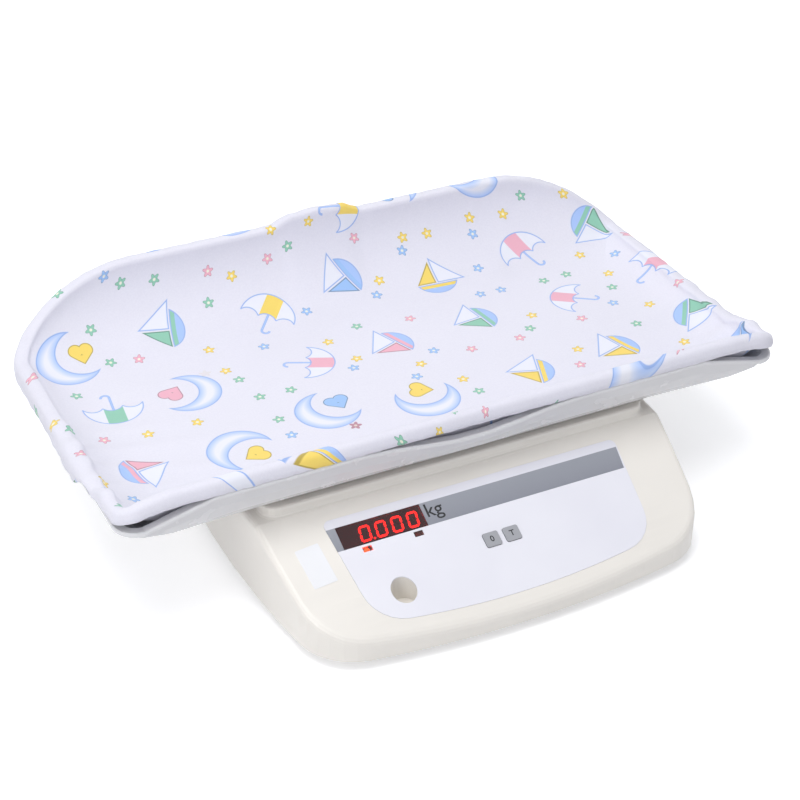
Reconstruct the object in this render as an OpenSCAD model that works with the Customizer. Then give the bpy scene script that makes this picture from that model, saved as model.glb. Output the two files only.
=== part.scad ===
// Digital baby weighing scale: a cradle tray with a fitted cloth cover on a low
// housing with a sloping front panel, four levelling feet and one load cell.
// Millimetres, +Z up. The origin is on the floor under the middle of the whole
// scale, +X to the user's right and -Y towards the user, who faces the panel.

/* [Housing] */
// Widest width of the housing, halfway back
housing_w = 343; // [335:1:360]
// Depth of the housing, front to back
housing_d = 350; // [345:1:370]
// Radius of the bow of each side wall
side_bow_r = 850; // [700:10:1500]
// Radius of the bow of the front and back walls
front_bow_r = 760; // [600:10:1500]
// Plan radius of the four corners
corner_r = 46; // [40:1:52]
// Thickness of the housing walls
wall = 3; // [2.4:0.1:3.4]
// Radius that rounds the top edges of the housing
edge_r = 4; // [3:0.1:5]
// Gap between the floor and the lower edge of the housing
ground_gap = 8; // [7:0.5:10]
// Height of the front wall below the sloping panel
front_wall_h = 12.2; // [11:0.1:16]
// Slope of the control panel
panel_angle = 26; // [25:0.5:28]
// Height of the shoulders behind the panel, above the housing's lower edge
shoulder_h = 65; // [62:0.5:66]
// Depth of the raised deck's front face behind the housing's front
deck_setback = 110.3; // [110:0.1:116]
// Width of the raised deck
deck_w = 318; // [300:1:322]
// Height of the deck above the shoulders
deck_rise = 8; // [7:0.5:10]

/* [Control panel] */
// Width of the panel film at its top edge
film_w = 242.8; // [240:0.2:250]
// How much each side of the film leans in, per millimetre of its height
film_taper = 0.09; // [0.05:0.01:0.12]
// Height of the film at its middle, measured down the slope
film_h = 95.7; // [92:0.1:98]
// Radius of the bow of the film's lower edge
film_bow_r = 657; // [500:1:900]
// Thickness of the film
film_t = 0.6; // [0.4:0.1:0.8]
// Distance from the housing's front to the film's top edge, seen from above
film_setback = 97.8; // [97:0.1:99]
// Width of the display window
window_w = 67; // [66:0.1:68]
// Height of the display window
window_h = 18.6; // [18.2:0.1:19]
// Distance of the window's left edge left of the middle
window_left = 114.4; // [113:0.1:115]
// Distance of the window below the film's top edge
window_drop = 7.2; // [6:0.1:8]
// Height of a displayed digit
digit_h = 12.8; // [11:0.1:14]
// Distance from one digit to the next
digit_pitch = 12.7; // [11.5:0.1:12.9]
// Width of each small indicator window
lamp_w = 7.2; // [6:0.1:8]
// Height of each small indicator window
lamp_h = 4.2; // [3.5:0.1:4.6]
// Distance of the left indicator left of the middle
lamp_left = 97.8; // [95:0.1:100]
// Distance between the two indicators
lamp_pitch = 40.7; // [36:0.1:44]
// Distance of the indicators' centres below the film's top edge
lamp_drop = 29.7; // [29.4:0.1:31]
// Width of the two square keys
key_w = 12.2; // [11:0.1:12.6]
// Height of the two keys
key_h = 11.4; // [10:0.1:12.5]
// Distance between the keys' centres
key_pitch = 16.4; // [16:0.1:19]
// Distance of the middle between the keys right of the film's middle
key_mid = 1.1; // [-4:0.1:4]
// Distance of the keys' centres below the film's top edge
key_drop = 50.6; // [48:0.1:52]
// Travel of a key
key_travel = 0.4; // [0.3:0.05:0.6]
// Gap round each key
key_gap = 0.3; // [0.2:0.05:0.5]
// Width of the plain sticker beside the film
label_w = 18.6; // [15:0.1:20]
// Height of the sticker
label_h = 32; // [28:0.5:36]

/* [Bubble level] */
// Radius of the sight hole over the bubble level
sight_r = 9.5; // [9:0.1:10.2]
// Distance of the sight hole left of the middle
sight_left = 85.8; // [84:0.1:88]
// Distance of the sight hole below the film's top edge
sight_drop = 67.9; // [67:0.1:69]
// Depth of the level's glass below the sight hole's centre
level_depth = 15; // [13:0.5:16]

/* [Tray] */
// Length of the tray over its rim
tray_w = 540; // [530:1:560]
// Width of the tray, front to back
tray_d = 290; // [286:1:300]
// Thickness of the tray's walls
tray_t = 3; // [2.4:0.1:3.6]
// Distance from the housing's front to the tray's front
tray_setback = 95; // [92:0.5:98]
// Gap between the deck and the underside of the tray
tray_gap = 5.5; // [5:0.5:8]
// Height of the end rims above the tray's underside
end_rim_h = 17.5; // [16:0.5:22]
// Height of the front lip above the tray's underside
front_lip_h = 31; // [28:0.5:34]
// Height of the back rim above the tray's underside
back_rim_h = 64.5; // [58:0.5:70]
// Depth of the scoop in the middle of the front lip
scoop_depth = 9; // [4:0.5:11]
// Half the length of the scoop
scoop_half = 92; // [70:1:100]
// Plan radius of the tray's front corners
tray_corner_r = 18; // [16:1:22]
// Reach of each back corner along the tray's length
back_corner_w = 110; // [100:1:120]
// Reach of each back corner along the tray's width
back_corner_d = 47; // [42:1:56]
// Width of the rim's flange
flange_w = 4; // [3:0.5:5]
// Half the length of the tray's flat floor
floor_half_w = 218; // [212:1:224]
// Distance from the tray's front to the front of its flat floor
floor_front = 20; // [18:0.5:22]
// Distance from the tray's front to the back of its flat floor
floor_back = 218; // [214:1:222]

/* [Cover] */
// Thickness of the cloth
cloth_t = 1.4; // [1:0.1:1.8]
// Gap between the cloth and the tray
cloth_gap = 0.3; // [0.3:0.1:0.5]
// Height of the rolled hem along the front
hem_h = 9; // [7:0.5:11]
// How far the cover reaches down the outside of the rim
hem_drop = 13; // [10:0.5:15]
// Height of the pull folds at the two ends
fold_h = 1.6; // [0:0.1:2]
// Distance from one pull fold to the next
fold_pitch = 58; // [50:1:80]

/* [Load cell and platform] */
// Length of the load cell, left to right
cell_l = 130; // [124:1:136]
// Width of the load cell
cell_w = 30; // [28:1:34]
// Height of the load cell
cell_h = 22; // [20:1:24]
// Thickness of the spacers above and below the load cell
cell_spacer = 5; // [4:0.5:6]
// Distance between the posts, left to right
post_x = 240; // [230:1:250]
// Distance between the posts, front to back
post_y = 150; // [140:1:154]
// Radius of a platform post
post_r = 6; // [5:0.5:7]
// Thickness of the platform frame's sheet steel
frame_t = 3; // [2.5:0.5:4]
// Travel of the platform before it meets the overload stops
platform_travel = 0.5; // [0.3:0.1:0.8]

/* [Feet] */
// Distance between the feet, left to right
foot_x = 250; // [240:1:256]
// Distance between the feet, front to back
foot_y = 262; // [256:1:266]
// Radius of a foot's rubber pad
pad_r = 13; // [11:0.5:14]
// Height of a foot's rubber pad
pad_h = 7; // [6:0.5:7.5]
// Radius of a foot's stud
stud_r = 4; // [3:0.5:4.5]
// Length of a foot's stud
stud_l = 26; // [24:1:28]
// Thread pitch of the stud
stud_thread = 1.25; // [1:0.05:1.25]
// Turns that a stud makes each way from its stored height
stud_turns = 3; // [2:1:3]

/* [Hidden] */
$fn = 64;
eps = 0.01;

// Places along Y: the whole scale is centred on the origin
front_y = -(tray_setback + tray_d + cloth_gap + cloth_t) / 2;
housing_y = front_y + housing_d / 2;
deck_front_y = front_y + deck_setback;
deck_back_margin = 14;
deck_back_y = front_y + housing_d - deck_back_margin;
film_top_y = front_y + film_setback;
tray_front_y = front_y + tray_setback;
platform_y = (deck_front_y + deck_back_y) / 2;

// Heights
rise_rate = tan(panel_angle);
function panel_z(y) = ground_gap + front_wall_h + (y - front_y) * rise_rate;
shoulder_z = ground_gap + shoulder_h;
ridge_y = front_y + (shoulder_h - front_wall_h) / rise_rate;
deck_z = shoulder_z + deck_rise;
tray_z = deck_z + tray_gap;
film_top_z = panel_z(film_top_y);

// Clearances
fit_gap = 0.15;
bore_gap = 0.05;
screw_gap = 0.1;
plate_gap = 0.4;

// Base plate
plate_t = 3;
plate_z = ground_gap + 1;
plate_top = plate_z + plate_t;
seat_h = 2;
seat_top = plate_top + seat_h;
seat_rim = 1.6;
cell_seat_rim = 4;
rib_t = 1.8;
rib_h = 6;
long_rib_x = 75;
long_rib_l = 225;
cross_rib_l = 270;
cross_rib_y = [-80, -20];

// ---------------------------------------------------------------- helpers

function lerp(a, b, t) = a + (b - a) * t;
function ease(t) = t <= 0 ? 0 : t >= 1 ? 1 : (1 - cos(180 * t)) / 2;

// An outline is kept as its right half, from the front's middle to the back's
function flip(p) = [-p[0], p[1], p[2]];
function whole(half) = concat(half, [for (i = [len(half) - 1 : -1 : 0]) flip(half[i])]);
function flat_whole(half) = [for (p = whole([for (q = half) [q[0], q[1], 0]])) [p[0], p[1]]];
function at(d, i) = is_list(d) ? d[i] : d;

// Right half of an outline moved in by d, which is one distance or one per point
function inset(half, d) = [for (i = [0 : len(half) - 1])
    let (before = i == 0 ? [-half[0][0], half[0][1]] : half[i - 1])
    let (after = i == len(half) - 1 ? [-half[i][0], half[i][1]] : half[i + 1])
    let (along = (after - before) / norm(after - before))
    half[i] + at(d, i) * [-along[1], along[0]]];

// A level of a lofted form: a half outline with one height or one per point
function level(half, z) = whole([for (i = [0 : len(half) - 1])
    [half[i][0], half[i][1], at(z, i)]]);

// Solid through a list of levels that all have as many points. A flat end with
// straight edges is closed by a fan from one of its points on a curve. The first
// turned levels split their faces the other way, as a surface they lie on does.
module loft(levels, fan = undef, turned = 0) {
    n = len(levels[0]);
    top = (len(levels) - 1) * n;
    sides = [for (k = [0 : len(levels) - 2], i = [0 : n - 1])
        let (a = k * n + i, b = k * n + (i + 1) % n)
        each k < turned ? [[a, a + n, b], [b, a + n, b + n]] : [[a, a + n, b + n], [a, b + n, b]]];
    bottom_cap = is_undef(fan)
        ? [for (i = [0 : n / 2 - 2]) [i, i + 1, n - 2 - i, n - 1 - i]]
        : [for (i = [1 : n - 2]) [fan, (fan + i) % n, (fan + i + 1) % n]];
    top_cap = [for (f = bottom_cap) [for (k = [len(f) - 1 : -1 : 0]) top + f[k]]];
    polyhedron([for (ring = levels) each ring], concat(sides, bottom_cap, top_cap));
}

// Rounded rectangle, centred, as one polygon
module round_plate(w, h, r) {
    steps = 4;
    polygon([for (k = [0 : 3], i = [0 : steps])
        let (turn = 90 * k + 90 * i / steps)
        let (sx = k == 0 || k == 3 ? 1 : -1, sy = k < 2 ? 1 : -1)
        [sx * (w / 2 - r) + r * cos(turn), sy * (h / 2 - r) + r * sin(turn)]]);
}

// Puts children on the panel: u to the right, v down the slope, lift off it
module on_panel(u = 0, v = 0, lift = 0) {
    translate([0, film_top_y, film_top_z])
        rotate([panel_angle, 0, 0])
            translate([u, -v, lift])
                children();
}

module tube(r_out, r_in, h) {
    difference() {
        cylinder(r = r_out, h = h);
        translate([0, 0, -eps])
            cylinder(r = r_in, h = h + 2 * eps);
    }
}

// Screw standing on its seat: head below z = 0, shank above
module screw_up(r, l, head_r, head_h) {
    translate([0, 0, -head_h])
        cylinder(r = head_r, h = head_h);
    translate([0, 0, -head_h / 2])
        cylinder(r = r, h = l + head_h / 2);
}

// ---------------------------------------------------------------- housing

// The corner's centre, where circles inside the side bow and the front bow meet
side_mid = [housing_w / 2 - side_bow_r, 0];
front_mid = [0, front_bow_r - housing_d / 2];
mid_gap = norm(front_mid - side_mid);
mid_dir = (front_mid - side_mid) / mid_gap;
side_reach = side_bow_r - corner_r;
front_reach = front_bow_r - corner_r;
mid_along = (pow(side_reach, 2) - pow(front_reach, 2) + pow(mid_gap, 2)) / (2 * mid_gap);
mid_across = sqrt(pow(side_reach, 2) - pow(mid_along, 2));
corner_mid = side_mid + mid_dir * mid_along + [mid_dir[1], -mid_dir[0]] * mid_across;
front_end = atan2(corner_mid[1] - front_mid[1], corner_mid[0] - front_mid[0]);
side_start = atan2(corner_mid[1] - side_mid[1], corner_mid[0] - side_mid[0]);

front_steps = 4;
bow_steps = 6;
side_steps = 4;
side_end_y = -corner_mid[1];

// Heights along the side at which the outline has points, the ridge among them
side_stations = concat([(ridge_y - housing_y + corner_mid[1]) / 2, ridge_y - housing_y],
    [for (i = [1 : side_steps])
        lerp(ridge_y - housing_y, side_end_y, i / (side_steps + 0.3))]);

function polar(mid, r, turn) = mid + r * [cos(turn), sin(turn)];
function front_quarter(d) = concat(
    [for (i = [0 : front_steps - 1])
        polar(front_mid, front_bow_r - d,
            lerp(-90, front_end, (i + 0.5) / (front_steps + 0.5)))],
    [for (i = [0 : bow_steps])
        polar(corner_mid, corner_r - d, lerp(front_end, side_start, i / bow_steps))]);
function back_quarter(d) = let (front = front_quarter(d))
    [for (i = [len(front) - 1 : -1 : 0]) [front[i][0], -front[i][1]]];
function housing_half(d) = [for (p = concat(
        front_quarter(d),
        [for (y = side_stations)
            [side_mid[0] + sqrt(pow(side_bow_r - d, 2) - y * y), y]],
        back_quarter(d))) [p[0], p[1] + housing_y]];

function skin_level(d, drop) = let (half = housing_half(d))
    level(half, [for (p = half) min(panel_z(p[1]), shoulder_z) - drop]);
ceiling_drop = wall / cos(panel_angle);
function ceiling_level(d) = let (half = housing_half(d))
    level(half, [for (p = half)
        min(panel_z(p[1]) - ceiling_drop, shoulder_z - wall)]);

edge_turns = [0, 30, 60, 90];
deck_edge_r = 2;
cove_r = 2.5;
deck_front_r = 12;
deck_back_r = 44;
deck_steps = 4;

// Right half of the deck's outline, moved in by d
function deck_half(d) = let (hw = deck_w / 2 - d)
    concat(
        [[(deck_w / 2 - deck_front_r) / 2, deck_front_y + d]],
        [for (i = [0 : deck_steps])
            polar([hw - deck_front_r + d, deck_front_y + deck_front_r],
                deck_front_r - d, lerp(-90, 0, i / deck_steps))],
        [for (i = [0 : deck_steps])
            polar([hw - deck_back_r + d, deck_back_y - deck_back_r],
                deck_back_r - d, lerp(0, 90, i / deck_steps))],
        [[(deck_w / 2 - deck_back_r) / 2, deck_back_y - d]]);

// Screws that join the two housings, as places from the housing's middle
housing_screw_r = 2;
housing_screw_l = 14;
screw_head_r = 3.6;
screw_head_h = 2.4;
boss_r = 5;
boss_draft = 0.8;
housing_screw_at = [for (sx = [-1, 1], p = [[150, -90], [158, 0], [150, 90], [60, 152]])
    [sx * p[0], housing_y + p[1]]];

post_clear = 1.5;
post_at = [for (sx = [-1, 1], sy = [-1, 1])
    [sx * post_x / 2, platform_y + sy * post_y / 2]];

// Round well over the bubble level
well_wall = 2.4;
sight_y = film_top_y - sight_drop * cos(panel_angle);
glass_z = film_top_z - sight_drop * sin(panel_angle) - level_depth;

// Power socket in the back wall
socket_z = 26;
socket_bush_r = 5.5;
socket_l = 14;

// Standoffs under the panel that carry the front board
film_proud = 0.2;
recess = film_t - film_proud;
display_depth = 8;
board_t = 1.6;
board_lift = -(wall + fit_gap * 2 + display_depth);
board_left = 118;
board_top_v = 2.5;
board_row_v = 36;
board_key_left = 60;
board_right = 32;
board_low_v = 60;
standoff_r = 2.6;
board_screw_r = 1.2;
board_screw_l = 6;
board_screw_at = [[-board_left + 4, board_row_v - 4], [-board_key_left + 5, board_low_v - 4],
    [board_right - 4, board_top_v + 4], [board_right - 4, board_low_v - 4]];

// Screw boss with moulding draft, wider where it meets the shell
module drafted_boss(p) {
    under_deck = abs(p[0]) < deck_w / 2 - wall && p[1] > deck_front_y && p[1] < deck_back_y;
    top = (under_deck ? deck_z : shoulder_z) - wall / 2;
    hull() {
        translate([p[0], p[1], seat_top])
            cylinder(r = boss_r, h = 1, $fn = 32);
        translate([p[0], p[1], top - 1])
            cylinder(r = boss_r + boss_draft, h = 1, $fn = 32);
    }
}

// Solid under the panel's skin, which trims what hangs from it
module under_panel() {
    on_panel(-housing_w / 2, film_h + housing_d / 4, -housing_d - wall / 2)
        cube([housing_w, housing_d, housing_d]);
}

module film_outline(grow) {
    top_r = 5 + grow;
    low_r = 30 + grow;
    half_w = film_w / 2 + grow;
    low_v = film_h + grow;
    bow_mid = low_v - film_bow_r;
    lean = half_w - low_r * sqrt(1 + pow(film_taper, 2));
    mix = lean * film_taper + bow_mid;
    across = 1 + pow(film_taper, 2);
    rest = pow(lean, 2) + pow(bow_mid, 2) - pow(film_bow_r - low_r, 2);
    low_mid_v = (mix + sqrt(pow(mix, 2) - across * rest)) / across;
    low_mid = [lean - film_taper * low_mid_v, low_mid_v];
    side_turn = atan(film_taper);
    bow_turn = atan2(low_mid[1] - bow_mid, low_mid[0]);
    steps = 6;
    half = concat(
        [for (i = [0 : steps])
            polar([half_w - top_r, top_r - grow], top_r, lerp(-90, side_turn, i / steps))],
        [for (i = [0 : steps]) polar(low_mid, low_r, lerp(side_turn, bow_turn, i / steps))],
        [for (i = [1 : steps])
            polar([0, bow_mid], film_bow_r, lerp(bow_turn, 90, i / (steps + 0.5)))]);
    polygon([for (p = flat_whole(half)) [p[0], -p[1]]]);
}

// Openings that the film and the panel share
module panel_openings(z, h) {
    on_panel(-window_left + window_w / 2, window_drop + window_h / 2, z)
        linear_extrude(h)
            square([window_w, window_h], center = true);
    for (k = [0, 1])
        on_panel(-lamp_left + k * lamp_pitch, lamp_drop, z)
            linear_extrude(h)
                square([lamp_w, lamp_h], center = true);
    for (side = [-1, 1])
        on_panel(key_mid + side * key_pitch / 2, key_drop, z)
            linear_extrude(h)
                round_plate(key_w + 2 * key_gap, key_h + 2 * key_gap, 1.5 + key_gap);
    translate([-sight_left, sight_y, glass_z + eps])
        cylinder(r = sight_r, h = film_top_z);
}

module upper_housing() {
    color("ivory")
        difference() {
            union() {
                difference() {
                    union() {
                        loft(concat([level(housing_half(0), ground_gap)],
                            [for (t = edge_turns)
                                skin_level(edge_r * (1 - cos(t)), edge_r * (1 - sin(t)))]));
                        loft([level(deck_half(-cove_r), shoulder_z - wall / 2),
                            level(deck_half(-cove_r), shoulder_z),
                            level(deck_half(-cove_r * 0.3), shoulder_z + cove_r * 0.3),
                            level(deck_half(0), shoulder_z + cove_r),
                            level(deck_half(0), deck_z - deck_edge_r),
                            level(deck_half(deck_edge_r * 0.3), deck_z - deck_edge_r * 0.3),
                            level(deck_half(deck_edge_r), deck_z)]);
                    }
                    loft([level(housing_half(wall), ground_gap - 1), ceiling_level(wall)]);
                    loft([level(deck_half(wall), shoulder_z - wall - 1),
                        level(deck_half(wall), deck_z - wall)]);
                }
                for (p = housing_screw_at)
                    intersection() {
                        drafted_boss(p);
                        under_panel();
                    }
                intersection() {
                    translate([-sight_left, sight_y, glass_z])
                        cylinder(r = sight_r + well_wall, h = film_top_z);
                    under_panel();
                }
                for (p = board_screw_at)
                    on_panel(p[0], p[1], board_lift)
                        cylinder(r = standoff_r, h = -board_lift - wall / 2);
            }
            on_panel(0, 0, -recess)
                linear_extrude(edge_r)
                    film_outline(fit_gap);
            panel_openings(-2 * wall, 3 * wall);
            for (p = housing_screw_at)
                translate([p[0], p[1], seat_top - 1])
                    cylinder(r = housing_screw_r + screw_gap, h = housing_screw_l + 1);
            for (p = board_screw_at)
                on_panel(p[0], p[1], board_lift - 1)
                    cylinder(r = board_screw_r + screw_gap, h = board_screw_l);
            for (p = post_at)
                translate([p[0], p[1], deck_z - 2 * wall])
                    cylinder(r = post_r + post_clear, h = 3 * wall);
            translate([0, front_y + housing_d - 2 * wall, socket_z])
                rotate([-90, 0, 0])
                    cylinder(r = socket_bush_r + fit_gap, h = 3 * wall);
        }
}

// ---------------------------------------------------------------- base plate

foot_at = [for (sy = [-1, 1], sx = [-1, 1])
    [sx * foot_x / 2, housing_y + sy * foot_y / 2]];
foot_lift = stud_thread * stud_turns;
pocket_r = pad_r + 4;
pocket_top = pad_h + foot_lift + 2;
pocket_roof = pocket_top + plate_t;
insert_r = stud_r + 2;
insert_h = 10;
insert_boss_r = insert_r + 4;

// Load cell: fixed at its left end, loaded at its right end
cell_z = seat_top + cell_spacer;
cell_top = cell_z + cell_h;
frame_z = cell_top + cell_spacer;
frame_top = frame_z + frame_t;
cell_end_l = 30;
cell_screw_r = 3;
cell_screw_pitch = 15;
cell_head_r = 5;
cell_head_h = 2.6;
cell_top_head_h = 4;
cell_end_x = cell_l / 2 - cell_end_l / 2;

module at_cell_screws(side) {
    for (k = [-1, 1])
        translate([side * cell_end_x + k * cell_screw_pitch / 2, platform_y, 0])
            children();
}

// Overload stops stand under the frame's arms
stop_share = 0.82;
stop_at = [for (p = post_at)
    [p[0] * stop_share, platform_y + (p[1] - platform_y) * stop_share]];
stop_boss_r = 6.5;
stop_boss_top = cell_top - 12;
stop_r = 3;
stop_head_r = 5;
stop_head_h = 3;
stop_depth = 10;
stop_z = frame_z - platform_travel - 0.1;

// Main board behind the load cell
main_w = 120;
main_d = 56;
main_y = platform_y + 60;
main_z = 20;
main_post_r = 3.2;
main_screw_at = [for (sx = [-1, 1], sy = [-1, 1])
    [sx * (main_w / 2 - 6), main_y + sy * (main_d / 2 - 6)]];

module lower_housing() {
    color("ivory")
        difference() {
            union() {
                translate([0, 0, plate_z])
                    linear_extrude(plate_t)
                        polygon(flat_whole(housing_half(wall + plate_gap)));
                for (p = foot_at)
                    translate([p[0], p[1], plate_z]) {
                        cylinder(r = pocket_r + plate_t, h = pocket_roof - plate_z);
                        cylinder(r = insert_boss_r, h = pocket_top + insert_h - plate_z);
                    }
                for (p = housing_screw_at)
                    translate([p[0], p[1], plate_z])
                        cylinder(r = boss_r + seat_rim, h = plate_t + seat_h);
                translate([-cell_end_x, platform_y, plate_z + (plate_t + seat_h) / 2])
                    cube([cell_end_l + 2 * cell_seat_rim, cell_w + 2 * cell_seat_rim,
                        plate_t + seat_h], center = true);
                for (p = main_screw_at)
                    translate([p[0], p[1], plate_z])
                        cylinder(r = main_post_r, h = main_z - plate_z);
                for (p = stop_at)
                    translate([p[0], p[1], plate_z])
                        cylinder(r = stop_boss_r, h = stop_boss_top - plate_z);
                for (side = [-1, 1])
                    translate([side * long_rib_x - rib_t / 2, housing_y - long_rib_l / 2,
                        plate_z])
                        cube([rib_t, long_rib_l, plate_t + rib_h]);
                for (y = cross_rib_y)
                    translate([-cross_rib_l / 2, housing_y + y - rib_t / 2, plate_z])
                        cube([cross_rib_l, rib_t, plate_t + rib_h]);
            }
            for (p = foot_at)
                translate([p[0], p[1], plate_z - eps]) {
                    cylinder(r = pocket_r, h = pocket_top - plate_z + eps);
                    cylinder(r = insert_r, h = housing_d);
                }
            for (p = housing_screw_at)
                translate([p[0], p[1], plate_z - eps]) {
                    cylinder(r = screw_head_r + screw_gap, h = plate_t + eps);
                    cylinder(r = housing_screw_r + screw_gap, h = 3 * plate_t);
                }
            at_cell_screws(-1)
                translate([0, 0, plate_z - eps]) {
                    cylinder(r = cell_head_r + screw_gap, h = plate_t + eps);
                    cylinder(r = cell_screw_r + screw_gap, h = 3 * plate_t);
                }
            for (p = main_screw_at)
                translate([p[0], p[1], main_z + board_t - board_screw_l - 0.5])
                    cylinder(r = board_screw_r + screw_gap, h = board_screw_l);
            for (p = stop_at)
                translate([p[0], p[1], stop_boss_top - stop_depth - 0.5])
                    cylinder(r = stop_r + screw_gap, h = stop_depth + 1);
        }
}

module housing_screws() {
    color("silver")
        for (p = housing_screw_at)
            translate([p[0], p[1], plate_top])
                screw_up(housing_screw_r, housing_screw_l, screw_head_r, screw_head_h);
}

// ---------------------------------------------------------------- control panel

module panel_film() {
    color("lavender")
        difference() {
            on_panel(0, 0, -recess)
                linear_extrude(film_t)
                    film_outline(0);
            panel_openings(-2 * wall, 3 * wall);
        }
}

window_t = 2.4;
module display_window() {
    color([0.1, 0.02, 0.03])
        on_panel(-window_left + window_w / 2, window_drop + window_h / 2, film_proud - window_t)
            linear_extrude(window_t)
                square([window_w - 2 * fit_gap, window_h - 2 * fit_gap], center = true);
}

module lamp_windows() {
    color([0.4, 0.05, 0.04])
        for (k = [0, 1])
            on_panel(-lamp_left + k * lamp_pitch, lamp_drop, film_proud - window_t)
                linear_extrude(window_t)
                    square([lamp_w - 2 * fit_gap, lamp_h - 2 * fit_gap], center = true);
}

module front_board() {
    color("darkgreen")
        difference() {
            on_panel(0, 0, board_lift - board_t)
                linear_extrude(board_t)
                    polygon([[-board_left, -board_top_v], [board_right, -board_top_v],
                        [board_right, -board_low_v], [-board_key_left, -board_low_v],
                        [-board_key_left, -board_row_v], [-board_left, -board_row_v]]);
            for (p = board_screw_at)
                on_panel(p[0], p[1], board_lift - 2 * board_t)
                    cylinder(r = board_screw_r + screw_gap, h = 3 * board_t);
        }
}

display_digit_count = 5;
display_w = display_digit_count * digit_pitch;
display_h = window_h - 1;
display_mid_u = -window_left + window_w / 2;
display_mid_v = window_drop + window_h / 2;
digit_t = 0.25;

module display_module() {
    color([0.08, 0.08, 0.09])
        on_panel(display_mid_u, display_mid_v, board_lift)
            linear_extrude(display_depth - digit_t)
                square([display_w, display_h], center = true);
}

// One lit digit is drawn in a slanted cell: strokes run between its corners
digit_w = 7.2;
stroke_w = 1.5;
stroke_gap = 0.2;
slant = 0.13;
function slanted(p) = [p[0] + slant * p[1], p[1]];
module stroke(a, b) {
    along = (b - a) / norm(b - a);
    side = [-along[1], along[0]] * stroke_w / 2;
    tip = along * (stroke_w / 2);
    from = a + along * stroke_gap;
    to = b - along * stroke_gap;
    polygon([for (p = [from, from + tip - side, to - tip - side, to,
        to - tip + side, from + tip + side]) slanted(p)]);
}

module zero_digit() {
    hw = digit_w / 2;
    hh = (digit_h - stroke_w) / 2;
    corners = [[-hw, -hh], [hw, -hh], [hw, 0], [hw, hh], [-hw, hh], [-hw, 0]];
    for (i = [0 : 5])
        stroke(corners[i], corners[(i + 1) % 6]);
}

// Reads 0.000, with the first place dark
point_r = 0.8;
module display_digits() {
    color("red")
        for (k = [1 : display_digit_count - 1])
            on_panel(display_mid_u + (k - 2) * digit_pitch, display_mid_v,
                board_lift + display_depth - digit_t)
                linear_extrude(digit_t) {
                    zero_digit();
                    if (k == 1)
                        translate([digit_pitch / 2 - 1, -(digit_h - stroke_w) / 2])
                            circle(r = point_r, $fn = 24);
                }
}

lamp_r = 1.9;
module lamps() {
    color("orangered")
        for (k = [0, 1])
            on_panel(-lamp_left + k * lamp_pitch, lamp_drop, board_lift)
                cylinder(r = lamp_r, h = display_depth);
}

key_lift = 1.1;
key_flange_w = 1.1;
key_flange_t = 1;
key_flange_gap = 0.1;
switch_w = 6;
switch_body_h = 3.6;
switch_h = 5;
plunger_r = 1.7;
stem_r = 2.4;
stem_gap = 0.1;
flange_lift = -wall - key_flange_gap - key_flange_t;

module key(side) {
    on_panel(key_mid + side * key_pitch / 2, key_drop) {
        translate([0, 0, flange_lift + key_flange_t - eps])
            linear_extrude(key_lift - flange_lift - key_flange_t + eps)
                round_plate(key_w, key_h, 1.5);
        translate([0, 0, flange_lift])
            linear_extrude(key_flange_t)
                round_plate(key_w + 2 * key_flange_w, key_h + 2 * key_flange_w, 2);
        stem_foot = board_lift + switch_h + key_travel + stem_gap;
        translate([0, 0, stem_foot])
            cylinder(r = stem_r, h = flange_lift - stem_foot + eps);
    }
}

module zero_key() {
    color("darkgray")
        key(-1);
}

module tare_key() {
    color("darkgray")
        key(1);
}

module key_switches() {
    color("dimgray")
        for (side = [-1, 1])
            on_panel(key_mid + side * key_pitch / 2, key_drop, board_lift) {
                translate([0, 0, switch_body_h / 2])
                    cube([switch_w, switch_w, switch_body_h], center = true);
                cylinder(r = plunger_r, h = switch_h);
            }
}

label_t = 0.3;
label_left = 138.5;
label_drop = 31.3;
label_tilt = 5;
module label() {
    color("white")
        on_panel(-label_left, label_drop, 0)
            rotate([0, 0, label_tilt])
                linear_extrude(label_t)
                    round_plate(label_w, label_h, 1);
}

// ---------------------------------------------------------------- bubble level

cup_h = 8;
glass_t = 2;
liquid_h = 2;
module level_cup() {
    color([0.25, 0.26, 0.28])
        translate([-sight_left, sight_y, glass_z - cup_h])
            difference() {
                cylinder(r = sight_r + well_wall, h = cup_h);
                translate([0, 0, cup_h - glass_t - liquid_h])
                    cylinder(r = sight_r - well_wall / 2, h = cup_h);
                translate([0, 0, cup_h - glass_t])
                    cylinder(r = sight_r, h = cup_h);
            }
}

module level_glass() {
    color([0.7, 0.8, 0.8])
        translate([-sight_left, sight_y, glass_z - glass_t])
            cylinder(r = sight_r - fit_gap, h = glass_t);
}

bubble_r = 2.6;
bubble_h = 1.4;
module level_bubble() {
    color("white")
        translate([-sight_left, sight_y, glass_z - glass_t - (liquid_h + bubble_h) / 2])
            rotate_extrude()
                intersection() {
                    translate([0, bubble_h / 2 - bubble_r])
                        circle(r = bubble_r + bubble_h / 2);
                    square([bubble_r, bubble_h]);
                }
}

// ---------------------------------------------------------------- electronics

// Parts on the main board, each its middle, its width and depth, and its height
board_parts = [[-30, 6, 14, 14, 3], [4, 4, 10, 18, 2.4], [36, -8, 12, 8, 9],
    [-10, -18, 22, 6, 7]];
module main_board() {
    color("darkgreen")
        difference() {
            union() {
                translate([-main_w / 2, main_y - main_d / 2, main_z])
                    cube([main_w, main_d, board_t]);
                for (c = board_parts)
                    translate([c[0] - c[2] / 2, main_y + c[1] - c[3] / 2, main_z])
                        cube([c[2], c[3], board_t + c[4]]);
            }
            for (p = main_screw_at)
                translate([p[0], p[1], main_z - board_t])
                    cylinder(r = board_screw_r + screw_gap, h = 3 * board_t);
        }
}

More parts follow.
